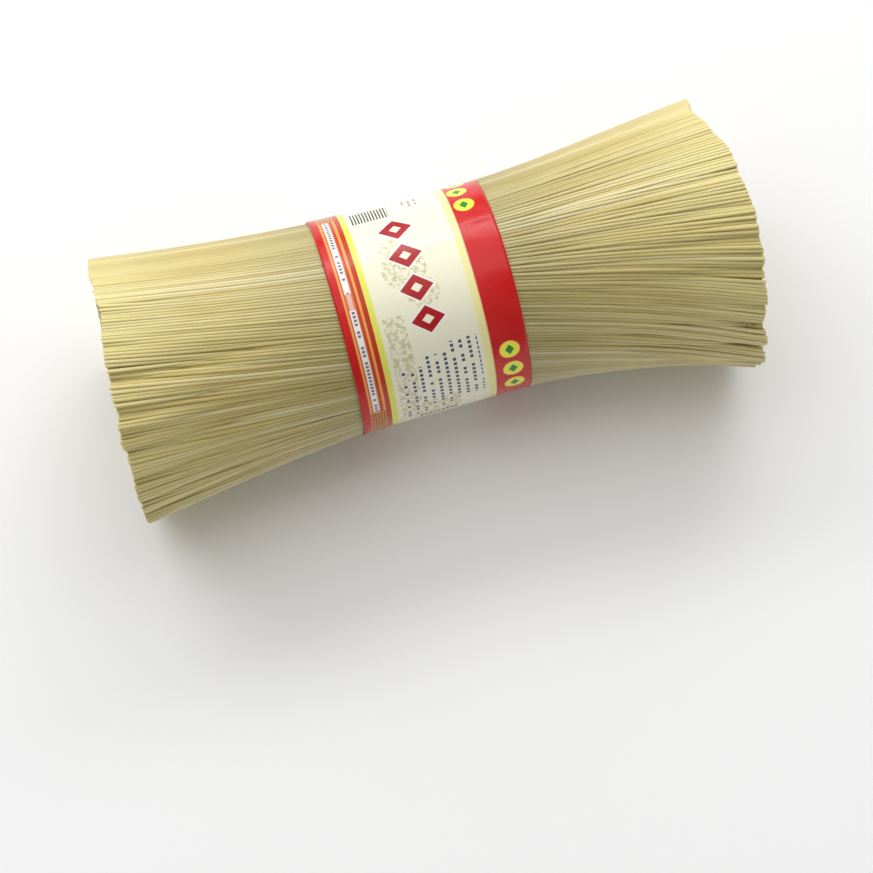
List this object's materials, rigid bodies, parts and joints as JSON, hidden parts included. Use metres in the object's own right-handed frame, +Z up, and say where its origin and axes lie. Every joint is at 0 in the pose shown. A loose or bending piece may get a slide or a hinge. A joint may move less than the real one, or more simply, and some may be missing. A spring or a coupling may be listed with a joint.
{
  "type": "bundle of dried rice noodles",
  "caption": "Bundle of straight dried rice noodles, drawn in at the waist by a wrapped paper band and fanned out at both ends.",
  "frame": {"origin": "on the surface the bundle lies on, under the middle of its bounding box", "axes": "+X along the noodles towards the wider fan, +Z up"},
  "size_m": [0.2774, 0.1214, 0.1062],
  "materials": {
    "noodles": "dried rice noodle, translucent pale straw, faint sheen",
    "paper_band": "coated paper, printed, glossy"
  },
  "bodies": {
    "root": {"noodle_bundle": "noodles", "paper_band": "paper_band"}
  },
  "joints": []
}
